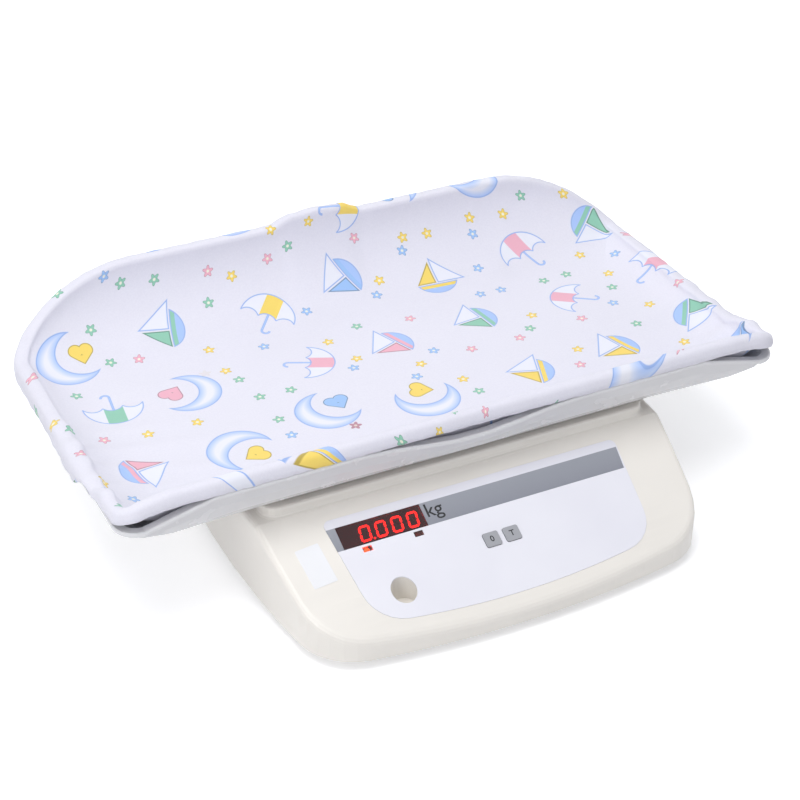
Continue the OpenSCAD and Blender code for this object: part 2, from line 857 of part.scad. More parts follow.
board_head_r = 2.4;
board_head_h = 1.6;
module board_screws() {
    color("silver") {
        for (p = board_screw_at)
            on_panel(p[0], p[1], board_lift - board_t)
                screw_up(board_screw_r, board_screw_l, board_head_r, board_head_h);
        for (p = main_screw_at)
            translate([p[0], p[1], main_z + board_t])
                rotate([180, 0, 0])
                    screw_up(board_screw_r, board_screw_l, board_head_r, board_head_h);
    }
}

socket_bore_r = 2.8;
socket_pin_r = 1;
socket_flange_t = 1.5;
socket_pin_back = 0.5;
module power_socket() {
    color([0.1, 0.1, 0.1])
        translate([0, front_y + housing_d, socket_z])
            rotate([90, 0, 0]) {
                difference() {
                    union() {
                        translate([0, 0, -socket_flange_t])
                            cylinder(r = socket_bush_r + socket_flange_t, h = socket_flange_t);
                        cylinder(r = socket_bush_r, h = socket_l);
                    }
                    translate([0, 0, -2 * socket_flange_t])
                        cylinder(r = socket_bore_r, h = socket_l);
                }
                translate([0, 0, -socket_pin_back])
                    cylinder(r = socket_pin_r, h = socket_l);
            }
}

// ---------------------------------------------------------------- load cell

cell_hole_r = 7;
cell_hole_x = 14;
cell_slot_h = 4;
module load_cell() {
    color("silver")
        difference() {
            translate([-cell_l / 2, platform_y - cell_w / 2, cell_z])
                cube([cell_l, cell_w, cell_h]);
            translate([0, platform_y - cell_w, cell_z + cell_h / 2])
                rotate([-90, 0, 0]) {
                    for (x = [-cell_hole_x, cell_hole_x])
                        translate([x, 0, 0])
                            cylinder(r = cell_hole_r, h = 2 * cell_w);
                    translate([-cell_hole_x, -cell_slot_h / 2, 0])
                        cube([2 * cell_hole_x, cell_slot_h, 2 * cell_w]);
                }
            for (side = [-1, 1])
                at_cell_screws(side)
                    translate([0, 0, cell_z - eps])
                        cylinder(r = cell_screw_r + screw_gap, h = cell_h + 2 * eps);
        }
}

module cell_spacer_block(side, z) {
    difference() {
        translate([side * cell_end_x - cell_end_l / 2, platform_y - cell_w / 2, z])
            cube([cell_end_l, cell_w, cell_spacer]);
        at_cell_screws(side)
            translate([0, 0, z - eps])
                cylinder(r = cell_screw_r + screw_gap, h = cell_spacer + 2 * eps);
    }
}

module cell_base_spacer() {
    color("gray")
        cell_spacer_block(-1, seat_top);
}

module cell_top_spacer() {
    color("gray")
        cell_spacer_block(1, cell_top);
}

cell_bite = 12;
module cell_base_screws() {
    color("silver")
        at_cell_screws(-1)
            translate([0, 0, plate_top])
                screw_up(cell_screw_r, seat_h + cell_spacer + cell_bite,
                    cell_head_r, cell_head_h);
}

module cell_top_screws() {
    color("silver")
        at_cell_screws(1)
            translate([0, 0, frame_top])
                rotate([180, 0, 0])
                    screw_up(cell_screw_r, frame_t + cell_spacer + cell_bite,
                        cell_head_r, cell_top_head_h);
}

// ---------------------------------------------------------------- platform

arm_w = 26;
hub_w = 150;
hub_d = 64;
hub_corner_r = 8;
hub_hole_r = 12;
lip_h = 8;
rivet_r = 3;
module platform_frame() {
    color("lightsteelblue")
        difference() {
            union() {
                translate([0, 0, frame_z])
                    linear_extrude(frame_t) {
                        translate([0, platform_y])
                            round_plate(hub_w, hub_d, hub_corner_r);
                        for (p = post_at) {
                            reach = norm([p[0], p[1] - platform_y]);
                            translate([0, platform_y])
                                rotate(atan2(p[1] - platform_y, p[0]))
                                    translate([0, -arm_w / 2])
                                        square([reach, arm_w]);
                            translate([p[0], p[1]])
                                circle(r = arm_w / 2);
                        }
                    }
                for (side = [-1, 1])
                    translate([-hub_w / 4, platform_y + side * (hub_d - frame_t) / 2
                        - frame_t / 2, frame_z - lip_h])
                        cube([hub_w / 2, frame_t, lip_h + eps]);
            }
            for (p = post_at)
                translate([p[0], p[1], frame_z - 1])
                    cylinder(r = rivet_r + bore_gap, h = frame_t + 2);
            at_cell_screws(1)
                translate([0, 0, frame_z - 1])
                    cylinder(r = cell_screw_r + screw_gap, h = frame_t + 2);
            translate([-hub_w / 4, platform_y, frame_z - 1])
                cylinder(r = hub_hole_r, h = frame_t + 2);
        }
}

// Each post is riveted through its arm and carries a bumper in its top
bumper_r = 9;
bumper_h = 3.5;
spigot_r = 2.5;
spigot_l = 5;
rivet_head_h = 1.5;
post_top = tray_z - bumper_h;
module platform_posts() {
    color("silver")
        for (p = post_at)
            translate([p[0], p[1], 0])
                difference() {
                    union() {
                        translate([0, 0, frame_top])
                            cylinder(r = post_r, h = post_top - frame_top);
                        translate([0, 0, frame_z - eps])
                            cylinder(r = rivet_r, h = frame_t + 2 * eps);
                        translate([0, 0, frame_z - rivet_head_h])
                            cylinder(r = rivet_r + 2, h = rivet_head_h);
                    }
                    translate([0, 0, post_top - spigot_l - 1])
                        cylinder(r = spigot_r + bore_gap, h = spigot_l + 2);
                }
}

module tray_bumpers() {
    color([0.2, 0.2, 0.2])
        for (p = post_at)
            translate([p[0], p[1], post_top]) {
                cylinder(r = bumper_r, h = bumper_h);
                translate([0, 0, -spigot_l])
                    cylinder(r = spigot_r, h = spigot_l + eps);
            }
}

module overload_stops() {
    color("silver")
        for (p = stop_at)
            translate([p[0], p[1], stop_boss_top - stop_depth]) {
                cylinder(r = stop_r, h = stop_z - stop_boss_top + stop_depth);
                translate([0, 0, stop_z - stop_boss_top + stop_depth - stop_head_h])
                    cylinder(r = stop_head_r, h = stop_head_h);
            }
}

// ---------------------------------------------------------------- feet

pad_seat = 3;
stud_foot_h = 2;
stud_foot_r = stud_r + 3;
module foot_inserts() {
    color("goldenrod")
        for (p = foot_at)
            translate([p[0], p[1], pocket_top])
                tube(insert_r, stud_r + bore_gap, insert_h);
}

module foot_pad(i) {
    color([0.22, 0.22, 0.23])
        translate([foot_at[i][0], foot_at[i][1], 0])
            rotate_extrude()
                polygon([[0, 0], [pad_r - 1, 0], [pad_r, 1], [pad_r, pad_h - 2],
                    [pad_r - 2, pad_h], [stud_r + screw_gap, pad_h],
                    [stud_r + screw_gap, pad_seat + stud_foot_h + screw_gap],
                    [stud_foot_r + screw_gap, pad_seat + stud_foot_h + screw_gap],
                    [stud_foot_r + screw_gap, pad_seat], [0, pad_seat]]);
}

module foot_stud(i) {
    color("silver")
        translate([foot_at[i][0], foot_at[i][1], pad_seat]) {
            cylinder(r = stud_foot_r, h = stud_foot_h);
            cylinder(r = stud_r, h = stud_l);
        }
}

module foot_pad_front_left() { foot_pad(0); }
module foot_pad_front_right() { foot_pad(1); }
module foot_pad_back_left() { foot_pad(2); }
module foot_pad_back_right() { foot_pad(3); }
module foot_stud_front_left() { foot_stud(0); }
module foot_stud_front_right() { foot_stud(1); }
module foot_stud_back_left() { foot_stud(2); }
module foot_stud_back_right() { foot_stud(3); }

// ---------------------------------------------------------------- tray

// A mark is one place round the tray: its point on the rim, its point on the
// flat floor's edge, and how far up the back corner it has climbed, from 0 to 1.
tray_front_steps = 9;
tray_bow_steps = 5;
tray_end_steps = 2 * round((tray_d - tray_corner_r - back_corner_d) / fold_pitch);
tray_back_steps = 9;
tray_rear_steps = 4;
floor_corner_r = 40;
floor_back_w = 90;
floor_back_d = 50;
back_climb = 1.7;
rim_half = tray_w / 2;
rim_back_start = tray_d - back_corner_d;
floor_back_start = floor_back - floor_back_d;

tray_marks = concat(
    [for (i = [0 : tray_front_steps])
        let (s = (i + 0.5) / (tray_front_steps + 0.5))
        [[s * (rim_half - tray_corner_r), 0],
            [s * (floor_half_w - floor_corner_r), floor_front], 0]],
    [for (i = [1 : tray_bow_steps])
        let (turn = lerp(-90, 0, i / tray_bow_steps))
        [polar([rim_half - tray_corner_r, tray_corner_r], tray_corner_r, turn),
            polar([floor_half_w - floor_corner_r, floor_front + floor_corner_r],
                floor_corner_r, turn), 0]],
    [for (i = [1 : tray_end_steps])
        let (s = i / (tray_end_steps + 1))
        [[rim_half, lerp(tray_corner_r, rim_back_start, s)],
            [floor_half_w, lerp(floor_front + floor_corner_r, floor_back_start, s)], 0]],
    [for (i = [0 : tray_back_steps])
        let (turn = 90 * i / tray_back_steps)
        [[rim_half - back_corner_w + back_corner_w * cos(turn),
            rim_back_start + back_corner_d * sin(turn)],
            [floor_half_w - floor_back_w + floor_back_w * cos(turn),
            floor_back_start + floor_back_d * sin(turn)], pow(sin(turn), back_climb)]],
    [for (i = [1 : tray_rear_steps])
        let (s = 1 - i / (tray_rear_steps + 0.5))
        [[s * (rim_half - back_corner_w), tray_d],
            [s * (floor_half_w - floor_back_w), floor_back], 1]]);

// A mark halfway round the back corner
curved_mark = tray_front_steps + tray_bow_steps + tray_end_steps
    + round(tray_back_steps / 2) + 1;

rim = [for (m = tray_marks) m[0] + [0, tray_front_y]];
floor_edge = [for (m = tray_marks) m[1] + [0, tray_front_y]];

// Distance round the front corner, from where the corner starts
function run(m) = m[0][0] + m[0][1] - (rim_half - tray_corner_r);
lip_fall = [-55, 2];
hem_fall = [-26, 60];
hem_out = [60, 80];
hem_down = [90, 120];
function gone(m, span) = ease((run(m) - span[0]) / (span[1] - span[0]));
function climb(m) = (back_rim_h - end_rim_h) * m[2];
function scoop(m) = m[0][1] > 0 || m[0][0] >= scoop_half ? 0
    : scoop_depth * (1 + cos(180 * m[0][0] / scoop_half)) / 2;

rim_h = [for (m = tray_marks)
    end_rim_h + climb(m) + (front_lip_h - end_rim_h) * (1 - gone(m, lip_fall)) - scoop(m)];

wall_steps = 4;
function wall_out(s) = sin(90 * s);
function wall_up(s) = 1 - cos(90 * s);

// Level of a bowl wall, between a floor's edge and a top edge
function wall_level(low, high, low_h, high_h, s) = level(
    [for (i = [0 : len(low) - 1]) lerp(low[i], high[i], wall_out(s))],
    [for (i = [0 : len(low) - 1]) tray_z + lerp(low_h, at(high_h, i), wall_up(s))]);
function plus(list, d) = [for (v = list) v + d];

module tray_shell() {
    outer_top = inset(rim, flange_w);
    inner_top = inset(rim, flange_w + tray_t);
    inner_floor = inset(floor_edge, tray_t);
    color("whitesmoke")
        loft(concat(
            [for (k = [0 : wall_steps])
                wall_level(floor_edge, outer_top, 0, plus(rim_h, -tray_t), k / wall_steps)],
            [level(rim, plus(rim_h, tray_z - tray_t)),
                level(rim, plus(rim_h, tray_z - 1)),
                level(inset(rim, 1), plus(rim_h, tray_z))],
            [for (k = [wall_steps : -1 : 0])
                wall_level(inner_floor, inner_top, tray_t, rim_h, k / wall_steps)]),
            fan = curved_mark);
}

// Rings welded under the floor locate the tray on its bumpers
ring_gap = 0.6;
ring_t = 3;
ring_h = 3;
module tray_sockets() {
    color("whitesmoke")
        for (p = post_at)
            translate([p[0], p[1], tray_z - ring_h])
                tube(bumper_r + ring_gap + ring_t, bumper_r + ring_gap, ring_h);
}

// ---------------------------------------------------------------- cover

hem_inside = 3;
hem_outside = 0.8;
hem_line = [for (m = tray_marks) end_rim_h + climb(m) + cloth_gap
    + (front_lip_h - end_rim_h) * (1 - gone(m, hem_fall))];
crest = [for (i = [0 : len(tray_marks) - 1])
    hem_line[i] + (hem_h - cloth_t) * (1 - gone(tray_marks[i], hem_out))];
hem_edge = [for (i = [0 : len(tray_marks) - 1])
    hem_line[i] - (hem_drop + cloth_gap) * gone(tray_marks[i], hem_down)];
band_in = [for (m = tray_marks) lerp(hem_inside, -cloth_gap, gone(m, hem_out))];
band_out = [for (m = tray_marks)
    lerp(hem_outside, -cloth_gap - cloth_t, gone(m, hem_out))];

// Pull folds stand up from the end walls, one at every other mark
function fold_at(i, s) = i % 2 == 1 && tray_marks[i][0][1] > tray_corner_r
    && tray_marks[i][2] < 0.9 ? fold_h * sin(180 * s) : 0;

module cover() {
    skin = flange_w + tray_t + cloth_gap;
    under_top = inset(rim, skin);
    under_floor = inset(floor_edge, tray_t + cloth_gap);
    upper_top = inset(rim, skin + cloth_t);
    upper_floor = inset(floor_edge, tray_t + cloth_gap + cloth_t);
    low = tray_t + cloth_gap;
    color("lavender")
        loft(concat(
            [for (k = [0 : wall_steps])
                wall_level(under_floor, under_top, low, crest, k / wall_steps)],
            [level(inset(rim, band_in), plus(crest, tray_z)),
                level(inset(rim, band_in), plus(hem_edge, tray_z)),
                level(inset(rim, band_out), plus(hem_edge, tray_z)),
                level(inset(rim, band_out), plus(crest, tray_z + cloth_t / 2)),
                level(inset(rim, plus(band_out, 1)), plus(crest, tray_z + cloth_t))],
            [for (k = [wall_steps : -1 : 0])
                let (s = k / wall_steps)
                let (half = [for (i = [0 : len(rim) - 1])
                    lerp(upper_floor[i], upper_top[i], wall_out(s))])
                level(inset(half, [for (i = [0 : len(rim) - 1]) fold_at(i, s)]),
                    [for (i = [0 : len(rim) - 1])
                        tray_z + cloth_t + lerp(low, crest[i], wall_up(s))])]),
            fan = curved_mark, turned = wall_steps + 2);
}

// ---------------------------------------------------------------- drawing

upper_housing();
lower_housing();
panel_film();
display_window();
lamp_windows();
front_board();
display_module();
display_digits();
lamps();
zero_key();
tare_key();
key_switches();
level_cup();
level_glass();
level_bubble();
label();
main_board();
board_screws();
power_socket();
load_cell();
cell_base_spacer();
cell_base_screws();
cell_top_spacer();
cell_top_screws();
platform_frame();
platform_posts();
tray_bumpers();
overload_stops();
housing_screws();
foot_inserts();
foot_pad_front_left();
foot_pad_front_right();
foot_pad_back_left();
foot_pad_back_right();
foot_stud_front_left();
foot_stud_front_right();
foot_stud_back_left();
foot_stud_back_right();
tray_shell();
tray_sockets();
cover();
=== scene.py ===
import math

import bpy
import numpy as np
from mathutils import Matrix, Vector


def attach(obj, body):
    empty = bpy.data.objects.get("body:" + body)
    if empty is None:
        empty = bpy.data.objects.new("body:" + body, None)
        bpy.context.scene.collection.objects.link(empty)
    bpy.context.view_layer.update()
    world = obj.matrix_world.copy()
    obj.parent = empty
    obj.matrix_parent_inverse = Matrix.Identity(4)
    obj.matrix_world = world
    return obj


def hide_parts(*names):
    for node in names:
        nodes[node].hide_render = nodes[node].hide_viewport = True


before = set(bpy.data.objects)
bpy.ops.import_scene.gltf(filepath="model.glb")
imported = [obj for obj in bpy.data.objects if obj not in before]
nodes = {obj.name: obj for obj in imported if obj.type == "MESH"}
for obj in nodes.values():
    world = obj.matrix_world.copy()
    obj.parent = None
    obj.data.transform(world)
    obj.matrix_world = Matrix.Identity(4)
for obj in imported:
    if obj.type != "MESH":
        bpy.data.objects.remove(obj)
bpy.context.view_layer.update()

# ---------------------------------------------------------------- camera and light
# The scale is seen from above its front left corner with a long lens, in an even
# studio light from a large overhead lamp, a lamp on the left and a weak one behind.
scene = bpy.context.scene
scene.view_settings.view_transform = "Standard"

camera_data = bpy.data.cameras.new("camera")
camera_data.sensor_width = 36
camera_data.lens = 81.9
camera = bpy.data.objects.new("camera", camera_data)
scene.collection.objects.link(camera)
camera.location = (-0.5296, -1.0574, 0.8473)
sight_line = Vector((0.0064, 0.03845, 0.058)) - camera.location
camera.rotation_euler = sight_line.to_track_quat("-Z", "Y").to_euler()
scene.camera = camera


def add_lamp(name, place, aim, width, power):
    lamp_data = bpy.data.lights.new(name, "AREA")
    lamp_data.shape = "DISK"
    lamp_data.size = width
    lamp_data.energy = power
    lamp = bpy.data.objects.new(name, lamp_data)
    scene.collection.objects.link(lamp)
    lamp.location = place
    lamp.rotation_euler = (Vector(aim) - Vector(place)).to_track_quat("-Z", "Y").to_euler()


add_lamp("overhead_lamp", (-0.3, -0.2, 1.9), (0, 0, 0.05), 1.3, 17)
add_lamp("left_lamp", (-1.7, -0.9, 1.1), (0, 0, 0.05), 1.0, 10)
add_lamp("back_lamp", (0.9, 1.5, 1.3), (0, 0, 0.05), 0.9, 5)


def seen_directly(tree):
    """1 where the surface is seen by the camera, in a reflection or through glass."""
    path = tree.nodes.new("ShaderNodeLightPath")
    first = tree.nodes.new("ShaderNodeMath")
    first.operation = "MAXIMUM"
    tree.links.new(path.outputs["Is Camera Ray"], first.inputs[0])
    tree.links.new(path.outputs["Is Glossy Ray"], first.inputs[1])
    both = tree.nodes.new("ShaderNodeMath")
    both.operation = "MAXIMUM"
    tree.links.new(first.outputs[0], both.inputs[0])
    tree.links.new(path.outputs["Is Transmission Ray"], both.inputs[1])
    return both.outputs[0]


room = bpy.data.worlds.new("room")
scene.world = room
room.use_nodes = True
room_light = room.node_tree.nodes["Background"]
room_light.inputs["Color"].default_value = (0.93, 0.95, 1.0, 1)
room_mix = room.node_tree.nodes.new("ShaderNodeMapRange")
room_mix.inputs["To Min"].default_value = 0.52
room_mix.inputs["To Max"].default_value = 1.0
room.node_tree.links.new(seen_directly(room.node_tree), room_mix.inputs["Value"])
room.node_tree.links.new(room_mix.outputs[0], room_light.inputs["Strength"])

floor_mesh = bpy.data.meshes.new("floor")
floor_mesh.from_pydata([(-4, -4, 0), (4, -4, 0), (4, 4, 0), (-4, 4, 0)], [], [(0, 1, 2, 3)])
floor = bpy.data.objects.new("floor", floor_mesh)
scene.collection.objects.link(floor)
floor_finish = bpy.data.materials.new("pale_floor")
floor_finish.use_nodes = True
floor_tree = floor_finish.node_tree
floor_shader = floor_tree.nodes["Principled BSDF"]
floor_shader.inputs["Base Color"].default_value = (0.86, 0.86, 0.87, 1)
floor_shader.inputs["Roughness"].default_value = 0.9
floor_shader.inputs["Specular IOR Level"].default_value = 0
floor_shader.inputs["Emission Color"].default_value = (1, 1, 1, 1)
floor_glow = floor_tree.nodes.new("ShaderNodeMath")
floor_glow.operation = "MULTIPLY"
floor_glow.inputs[1].default_value = 0.42
floor_tree.links.new(seen_directly(floor_tree), floor_glow.inputs[0])
floor_tree.links.new(floor_glow.outputs[0], floor_shader.inputs["Emission Strength"])
floor_mesh.materials.append(floor_finish)


# ---------------------------------------------------------------- housing
# Two injection-moulded shells in cream ABS with a fine satin grain. The upper one
# carries the sloping panel and the raised deck, and the lower one closes it from
# below with screws.
def new_finish(name):
    finish = bpy.data.materials.new(name)
    finish.use_nodes = True
    return finish, finish.node_tree, finish.node_tree.nodes["Principled BSDF"]


def set_shader(shader, **values):
    for name, value in values.items():
        shader.inputs[name.replace("_", " ")].default_value = value


def place(tree):
    """Coordinates on the piece, in metres."""
    return tree.nodes.new("ShaderNodeTexCoord").outputs["Object"]


def grain(tree, scale, detail=2.0, stretch=(1, 1, 1)):
    """Noise with that many grains a metre."""
    mapping = tree.nodes.new("ShaderNodeMapping")
    mapping.inputs["Scale"].default_value = stretch
    tree.links.new(place(tree), mapping.inputs["Vector"])
    noise = tree.nodes.new("ShaderNodeTexNoise")
    noise.inputs["Scale"].default_value = scale
    noise.inputs["Detail"].default_value = detail
    tree.links.new(mapping.outputs[0], noise.inputs["Vector"])
    return noise.outputs[0]


def spread(tree, socket, low, high, to_low, to_high):
    """The socket's values from low to high, brought to another range."""
    change = tree.nodes.new("ShaderNodeMapRange")
    for name, value in zip(("From Min", "From Max", "To Min", "To Max"),
                           (low, high, to_low, to_high)):
        change.inputs[name].default_value = value
    tree.links.new(socket, change.inputs["Value"])
    return change.outputs[0]


def mixed(tree, share, first, second):
    """Two colours, each a socket or plain values, mixed by a share from 0 to 1."""
    mix = tree.nodes.new("ShaderNodeMix")
    mix.data_type = "RGBA"
    for socket, value in ((mix.inputs[0], share), (mix.inputs[6], first), (mix.inputs[7], second)):
        if isinstance(value, bpy.types.NodeSocket):
            tree.links.new(value, socket)
        else:
            socket.default_value = value if isinstance(value, float) else (*value[:3], 1)
    return mix.outputs[2]


def roughen(tree, shader, height, depth, strength=1.0):
    """Bump of that depth in metres."""
    bump = tree.nodes.new("ShaderNodeBump")
    bump.inputs["Strength"].default_value = strength
    bump.inputs["Distance"].default_value = depth
    tree.links.new(height, bump.inputs["Height"])
    tree.links.new(bump.outputs[0], shader.inputs["Normal"])


def moulded(name, colour, roughness, depth=0.00004, shift=0.06, scale=1500, edge_highlight=0.5, **more):
    """Moulded plastic: fine grain, faint flow clouds and a painted highlight that lightens the sharp
    outer edges.
    """
    finish, tree, shader = new_finish(name)
    set_shader(shader, **more)
    dark = [c * (1 - shift) for c in colour]
    light = [min(1, c * (1 + shift)) for c in colour]
    clouds = spread(tree, grain(tree, 14, 3), 0.35, 0.65, 0, 1)
    base = mixed(tree, clouds, dark, light)
    # Painted highlight: the colour is made lighter on sharp outer edges, as if they caught the light.
    edge = tree.nodes.new("ShaderNodeNewGeometry").outputs["Pointiness"]
    highlight_colour = [min(1, c * 1.12) for c in colour]
    base = mixed(tree, spread(tree, edge, 0.505, 0.56, 0, edge_highlight), base, highlight_colour)
    tree.links.new(base, shader.inputs["Base Color"])
    tree.links.new(spread(tree, grain(tree, 60, 4), 0.3, 0.7, roughness - 0.05, roughness + 0.06),
                   shader.inputs["Roughness"])
    roughen(tree, shader, grain(tree, scale, 2), depth)
    return finish


def dress(finish, *names):
    for name in names:
        nodes[name].data.materials.clear()
        nodes[name].data.materials.append(finish)


cream_shell = moulded("cream_shell", (0.82, 0.785, 0.73), 0.36, depth=0.00002, shift=0.012,
                      scale=1800, edge_highlight=0.35)
cream_base = moulded("cream_base", (0.79, 0.755, 0.70), 0.48, depth=0.00005, shift=0.02,
                     scale=1200)
dress(cream_shell, "upper_housing")
dress(cream_base, "lower_housing")


# ---------------------------------------------------------------- panel film
# A satin polyester film in a recess of the panel, pale with a grey band round the
# display window. Beside the window stands the unit, printed in black.
film_top_y = -0.09555
film_top_z = 0.0679
panel_slope = math.radians(26)
down_slope = Vector((0, -math.cos(panel_slope), -math.sin(panel_slope)))
off_panel = Vector((0, -math.sin(panel_slope), math.cos(panel_slope)))


def on_panel(u, v, lift):
    """Millimetres to the right, down the slope and off the panel, to a point in metres."""
    return (Vector((u, 0, 0)) + down_slope * v + off_panel * lift) / 1000 + Vector(
        (0, film_top_y, film_top_z))


def along(tree, direction, start):
    """Distance from start along a direction, in millimetres."""
    offset = tree.nodes.new("ShaderNodeVectorMath")
    offset.operation = "SUBTRACT"
    tree.links.new(place(tree), offset.inputs[0])
    offset.inputs[1].default_value = start
    dot = tree.nodes.new("ShaderNodeVectorMath")
    dot.operation = "DOT_PRODUCT"
    tree.links.new(offset.outputs[0], dot.inputs[0])
    dot.inputs[1].default_value = Vector(direction) * 1000
    return dot.outputs["Value"]


def times(tree, first, second):
    product = tree.nodes.new("ShaderNodeMath")
    product.operation = "MULTIPLY"
    for socket, value in zip(product.inputs, (first, second)):
        if isinstance(value, bpy.types.NodeSocket):
            tree.links.new(value, socket)
        else:
            socket.default_value = value
    return product.outputs[0]


# The grey band's rows down the panel, and its right end, which leans with the film's side
band_top = 7.2
band_low = 25.8
band_right = 121.4
film_lean = 0.128
ink_edge = 0.1

film_finish, film_tree, film_shader = new_finish("panel_film")
film_u = along(film_tree, (1, 0, 0), (0, film_top_y, film_top_z))
film_v = along(film_tree, down_slope, (0, film_top_y, film_top_z))
band_rows = times(film_tree,
                  spread(film_tree, film_v, band_top - ink_edge, band_top + ink_edge, 0, 1),
                  spread(film_tree, film_v, band_low - ink_edge, band_low + ink_edge, 1, 0))
band_end = film_tree.nodes.new("ShaderNodeMath")
band_end.operation = "MULTIPLY_ADD"
film_tree.links.new(film_v, band_end.inputs[0])
band_end.inputs[1].default_value = film_lean
film_tree.links.new(film_u, band_end.inputs[2])
band = times(film_tree, band_rows, spread(film_tree, band_end.outputs[0],
                                          band_right - ink_edge, band_right + ink_edge, 1, 0))
# The grey band is painted darker down the slope.
band_grey = mixed(film_tree, spread(film_tree, film_v, 7, 26, 0, 1),
                  (0.33, 0.345, 0.39), (0.245, 0.255, 0.295))
film_pale = mixed(film_tree, spread(film_tree, grain(film_tree, 20, 2), 0.3, 0.7, 0, 1),
                  (0.79, 0.785, 0.85), (0.82, 0.815, 0.875))
film_tree.links.new(mixed(film_tree, band, film_pale, band_grey), film_shader.inputs["Base Color"])
film_tree.links.new(spread(film_tree, grain(film_tree, 90, 3), 0.3, 0.7, 0.3, 0.4),
                    film_shader.inputs["Roughness"])
roughen(film_tree, film_shader, grain(film_tree, 2600, 2), 0.00001)
dress(film_finish, "panel_film")


def printed(name, words, u, v, height, lift, finish, body):
    """Flat print: its middle lies at u, v and it stands as thick as ink."""
    letters = bpy.data.curves.new(name, "FONT")
    letters.body = words
    letters.align_x = "CENTER"
    letters.align_y = "CENTER"
    letters.size = height / 1000
    letters.extrude = 0.00003
    letters.offset = 0.0001
    piece = bpy.data.objects.new(name, letters)
    scene.collection.objects.link(piece)
    piece.location = on_panel(u, v, lift)
    piece.rotation_euler = (panel_slope, 0, 0)
    letters.materials.append(finish)
    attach(piece, body)
    return piece


black_ink = moulded("black_ink", (0.012, 0.012, 0.014), 0.45, shift=0.2, edge_highlight=0.0)
unit_print = printed("unit_print", "kg", -38.6, 14.8, 15.5, 0.25, black_ink, "base")


# ---------------------------------------------------------------- display
# Smoked red acrylic windows lie flush in the film. Behind the large one is the lit
# display, and behind each small one a lamp, of which only the left one is lit.
def lens(name, colour, roughness):
    finish, tree, shader = new_finish(name)
    set_shader(shader, Base_Color=(*colour, 1), IOR=1.49, Transmission_Weight=0.93)
    tree.links.new(spread(tree, grain(tree, 120, 3), 0.3, 0.7, roughness, roughness + 0.05),
                   shader.inputs["Roughness"])
    roughen(tree, shader, grain(tree, 300, 1), 0.000004)
    return finish


dress(lens("smoked_window", (0.30, 0.045, 0.05), 0.03), "display_window")
dress(lens("lamp_window", (0.42, 0.12, 0.11), 0.05), "lamp_windows")
dress(moulded("display_case", (0.012, 0.008, 0.009), 0.5, shift=0.1), "display_module")

digit_finish, digit_tree, digit_shader = new_finish("lit_segments")
set_shader(digit_shader, Base_Color=(0.8, 0.03, 0.01, 1), Roughness=0.5,
           Emission_Color=(1.0, 0.035, 0.012, 1))
digit_tree.links.new(spread(digit_tree, grain(digit_tree, 700, 2), 0.3, 0.7, 11, 15),
                     digit_shader.inputs["Emission Strength"])
dress(digit_finish, "display_digits")

lamp_finish, lamp_tree, lamp_shader = new_finish("indicator_lamps")
set_shader(lamp_shader, Base_Color=(0.6, 0.08, 0.03, 1), Roughness=0.3,
           Emission_Color=(1.0, 0.1, 0.02, 1))
lamp_left = along(lamp_tree, (1, 0, 0), (-0.0775, 0, 0))
lamp_tree.links.new(times(lamp_tree, spread(lamp_tree, lamp_left, -1, 1, 1, 0),
                          spread(lamp_tree, grain(lamp_tree, 500, 2), 0.3, 0.7, 14, 22)),
                    lamp_shader.inputs["Emission Strength"])
dress(lamp_finish, "lamps")


# ---------------------------------------------------------------- keys
# Two small grey moulded keys, zero on the left and tare on the right, each with its
# mark printed on top in dark ink.
key_finish = moulded("grey_key", (0.34, 0.345, 0.37), 0.5, depth=0.00003, shift=0.05, scale=2500)
dress(key_finish, "zero_key", "tare_key")
key_row = 50.6
key_top = 1.14
mark_height = 6.5
zero_mark = printed("zero_mark", "0", -7.1, key_row, mark_height, key_top, black_ink, "zero_button")
tare_mark = printed("tare_mark", "T", 9.3, key_row, mark_height, key_top, black_ink, "tare_button")


# ---------------------------------------------------------------- sticker
# A plain white paper sticker with a satin coat, put on by hand beside the film.
dress(moulded("sticker_paper", (0.84, 0.845, 0.87), 0.55, depth=0.00003, shift=0.015, scale=3000,
              edge_highlight=0.1), "label")


# ---------------------------------------------------------------- bubble level
# A dark grey cup of liquid under a clear glass, with one air bubble, seen down the
# round well in the panel.
dress(moulded("level_cup", (0.085, 0.09, 0.1), 0.45, shift=0.1), "level_cup")
glass_finish, glass_tree, glass_shader = new_finish("level_glass")
set_shader(glass_shader, Base_Color=(0.86, 0.9, 0.92, 1), IOR=1.5, Transmission_Weight=1.0)
glass_tree.links.new(spread(glass_tree, grain(glass_tree, 200, 2), 0.3, 0.7, 0.02, 0.08),
                     glass_shader.inputs["Roughness"])
dress(glass_finish, "level_glass")
dress(moulded("air_bubble", (0.5, 0.52, 0.55), 0.1, shift=0.05, edge_highlight=0.0), "level_bubble")


# ---------------------------------------------------------------- electronics
# Green fibreglass boards with copper tracks under solder mask, black switches, and a
# black moulded power socket in the back wall.
board_finish, board_tree, board_shader = new_finish("circuit_board")
tracks = board_tree.nodes.new("ShaderNodeTexVoronoi")
tracks.distance = "CHEBYCHEV"
tracks.feature = "F1"
tracks.inputs["Scale"].default_value = 140
board_tree.links.new(place(board_tree), tracks.inputs["Vector"])
track_lines = spread(board_tree, tracks.outputs["Distance"], 0.40, 0.44, 0, 1)
board_tree.links.new(mixed(board_tree, track_lines, (0.012, 0.13, 0.05), (0.03, 0.22, 0.09)),
                     board_shader.inputs["Base Color"])
board_tree.links.new(spread(board_tree, grain(board_tree, 300, 2), 0.3, 0.7, 0.28, 0.4),
                     board_shader.inputs["Roughness"])
roughen(board_tree, board_shader, track_lines, 0.00005)
dress(board_finish, "front_board", "main_board")
dress(moulded("black_moulding", (0.022, 0.022, 0.025), 0.42, shift=0.15), "key_switches",
      "power_socket")


